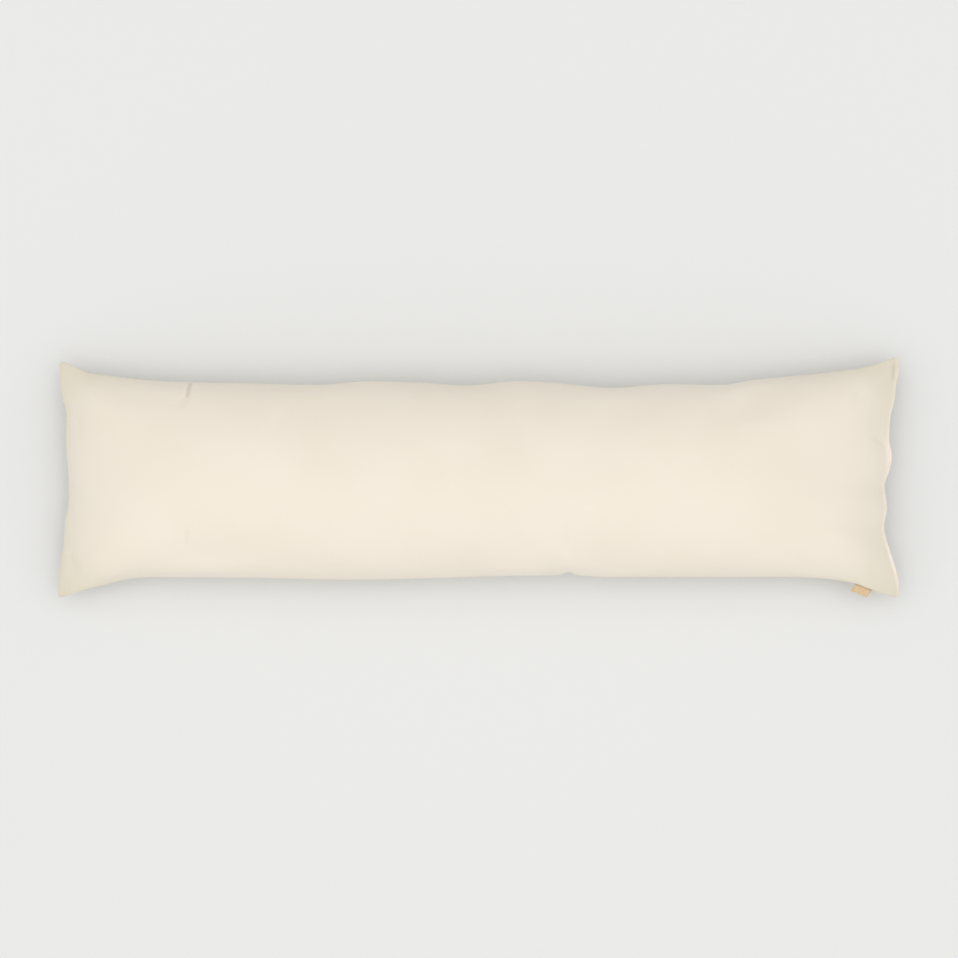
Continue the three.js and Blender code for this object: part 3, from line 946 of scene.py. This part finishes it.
def cotton_material():
    """Plain-woven cotton: fine threads, slubs, a soft unevenness from the filling, gathers by the seams."""
    nodes = Nodes("cream_cotton_weave", CREAM, roughness=0.88, sheen=0.6, sheen_roughness=0.45)
    cloth = nodes.attribute("cloth", "Vector")
    x, y, side = nodes.split(cloth)
    to_end = nodes.from_rim(x, CUT_LENGTH)
    to_side = nodes.from_rim(y, CUT_WIDTH)
    weave = woven_height(nodes, cloth, x, y)
    slubs = slub_height(nodes, x, y, side)

    # Darker where the bag is thin, partly its own tone and partly painted shade, and painted shade in the
    # ears.
    tone = filled_tone(nodes, cloth, x, to_end, to_side)
    # A painted highlight on the closing lip.
    tone = nodes.mix(lip_highlight(nodes, x, y), tone, LIP_HIGHLIGHT_CREAM)
    tone = nodes.mix(nodes.times(slubs, SLUB_SHARE), tone, CREAM_LIGHT)
    tone = nodes.mix(nodes.spread(weave, *WEAVE_RANGE), tone, CREAM_SHADE)
    # Painted shade in the seam's groove and in two of the creases.
    tone = nodes.mix(nodes.times(nodes.attribute("groove", "Fac"), GROOVE_SHARE), tone, SEAM_SHADE)

    lumps = nodes.noise(cloth, LUMP_RATE, detail=3.0, roughness=0.45)
    gathers = nodes.plus(nodes.gathers(x, to_side, side), nodes.gathers(y, to_end, side))
    puckers = nodes.plus(nodes.puckers(x, to_side), nodes.puckers(y, to_end))
    fine = nodes.plus(nodes.times(weave, WEAVE_RELIEF), nodes.times(slubs, SLUB_RELIEF))
    normal = nodes.bump(lumps, distance=0.0016, strength=0.55)
    normal = nodes.bump(gathers, distance=0.0016, strength=0.8, under=normal)
    normal = nodes.bump(puckers, distance=0.0002, strength=0.8, under=normal)
    normal = nodes.bump(fine, distance=0.00009, strength=0.8, under=normal)
    return nodes.finished(tone, normal)


def thread_material():
    """Cream sewing thread with its twist of two plies."""
    nodes = Nodes("cream_thread", CREAM_LIGHT, roughness=0.62, sheen=0.3)
    run, turn, _ = nodes.split(nodes.attribute("cloth", "Vector"))
    twist = nodes.plus(nodes.times(run, PLY_TWIST_RATE), nodes.times(turn, 2 * math.pi))
    ply = nodes.math("SINE", nodes.times(twist, 2))
    tone = nodes.mix(nodes.spread(ply, *PLY_RANGE), CREAM_LIGHT, CREAM_SHADE)
    return nodes.finished(tone, nodes.bump(ply, distance=0.00005, strength=0.8))


def ribbon_material():
    """Woven ribbon: fine ribs across it, denser selvedges, a little unevenness of colour, painted shade at
    its root.
    """
    nodes = Nodes("tan_ribbon_weave", TAN, roughness=0.66, sheen=0.25)
    cloth = nodes.attribute("cloth", "Vector")
    across, run, _ = nodes.split(cloth)
    rib = nodes.wave(run, RIB_PITCH)
    thread = nodes.wave(across, RIBBON_THREAD_PITCH)
    slant_along = nodes.times(run, 2 * math.pi / TWILL_PITCH_ALONG)
    slant_across = nodes.times(across, 2 * math.pi / TWILL_PITCH_ACROSS)
    twill = nodes.math("SINE", nodes.plus(slant_along, slant_across))

    clouds = nodes.spread(nodes.noise(cloth, RIBBON_CLOUD_RATE, detail=3.0), *RIBBON_CLOUD_RANGE)
    tone = nodes.mix(CLOUD_SHARE, TAN, nodes.mix(clouds, TAN_DARK, TAN_LIGHT))
    tone = nodes.mix(nodes.spread(twill, *TWILL_RANGE), tone, TAN_DARK)
    selvedge = nodes.spread(nodes.math("ABSOLUTE", across), *SELVEDGE_RANGE)
    tone = nodes.mix(nodes.times(selvedge, SELVEDGE_SHARE), tone, TAN_DARK)
    # Painted shade where the ribbon goes into the seam.
    tone = nodes.mix(nodes.spread(nodes.from_rim(run, RIBBON_LENGTH), *ROOT_SHADE_RANGE), tone, TAN_ROOT_SHADE)
    height = nodes.plus(nodes.times(rib, RIB_RELIEF), nodes.times(nodes.plus(thread, twill), TWILL_RELIEF))
    return nodes.finished(tone, nodes.bump(height, distance=0.0001, strength=0.7))


def paper_material():
    """A pale sweep of paper."""
    nodes = Nodes("pale_paper", PAPER, roughness=0.9, sheen=0.0)
    place = nodes.tree.nodes.new("ShaderNodeTexCoord").outputs["Object"]
    return nodes.finished(nodes.mix(nodes.noise(place, PAPER_CLOUD_RATE), PAPER_DARK, PAPER_LIGHT))


# Studio, in metres but for the camera's sensor and lens in millimetres, its suns' angles in degrees

FLOOR_SIZE = 24.0
CAMERA_PLACE = (0.0, -0.00225, 4.03)
CAMERA_SENSOR = 36
CAMERA_LENS = 100
CAMERA_REACH = 100
SUN_DISTANCE = 3
SUNS = {
    "overhead": {"strength": 0.62, "spread": 70, "tilt": 0, "heading": 0},
    "near_side": {"strength": 0.88, "spread": 140, "tilt": 20, "heading": -90},
    "left_side": {"strength": 0.32, "spread": 70, "tilt": 45, "heading": 180},
    "right_side": {"strength": 0.26, "spread": 70, "tilt": 45, "heading": 0},
}
SKY_STRENGTH = 0.59


def make_floor():
    half = FLOOR_SIZE / 2
    corners = [(-half, -half, 0), (half, -half, 0), (half, half, 0), (-half, half, 0)]
    floor = make_object("floor", corners, [(0, 1, 2, 3)], paper_material())


def make_camera():
    camera = bpy.data.objects.new("camera", bpy.data.cameras.new("camera"))
    camera.data.type = "PERSP"
    camera.data.sensor_width = CAMERA_SENSOR
    camera.data.lens = CAMERA_LENS
    camera.data.clip_end = CAMERA_REACH
    camera.location = CAMERA_PLACE
    bpy.context.scene.collection.objects.link(camera)
    bpy.context.scene.camera = camera


def make_suns():
    for name, row in SUNS.items():
        light = bpy.data.lights.new(name, "SUN")
        light.energy = row["strength"]
        light.angle = math.radians(row["spread"])
        sun = bpy.data.objects.new(name, light)
        tilt, heading = math.radians(row["tilt"]), math.radians(row["heading"])
        level = math.sin(tilt)
        toward = Vector((level * math.cos(heading), level * math.sin(heading), math.cos(tilt)))
        sun.rotation_euler = toward.to_track_quat("Z", "Y").to_euler()
        sun.location = toward * SUN_DISTANCE
        bpy.context.scene.collection.objects.link(sun)


def make_sky():
    world = bpy.data.worlds.new("studio")
    world.use_nodes = True
    background = world.node_tree.nodes["Background"]
    background.inputs["Color"].default_value = (1.0, 1.0, 1.0, 1)
    background.inputs["Strength"].default_value = SKY_STRENGTH
    bpy.context.scene.world = world
    bpy.context.scene.view_settings.view_transform = "Standard"
    bpy.context.scene.view_settings.look = "None"


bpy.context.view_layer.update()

cover, top_moves, back_moves = make_cover(cotton_material())
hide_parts("pillow_body")
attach(cover, "root")

stitches = make_stitches(top_moves, back_moves, thread_material())
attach(stitches, "root")

label, ribbon_length = make_label(ribbon_material())
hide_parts("side_label")
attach(label, "root")

make_floor()
make_camera()
make_suns()
make_sky()
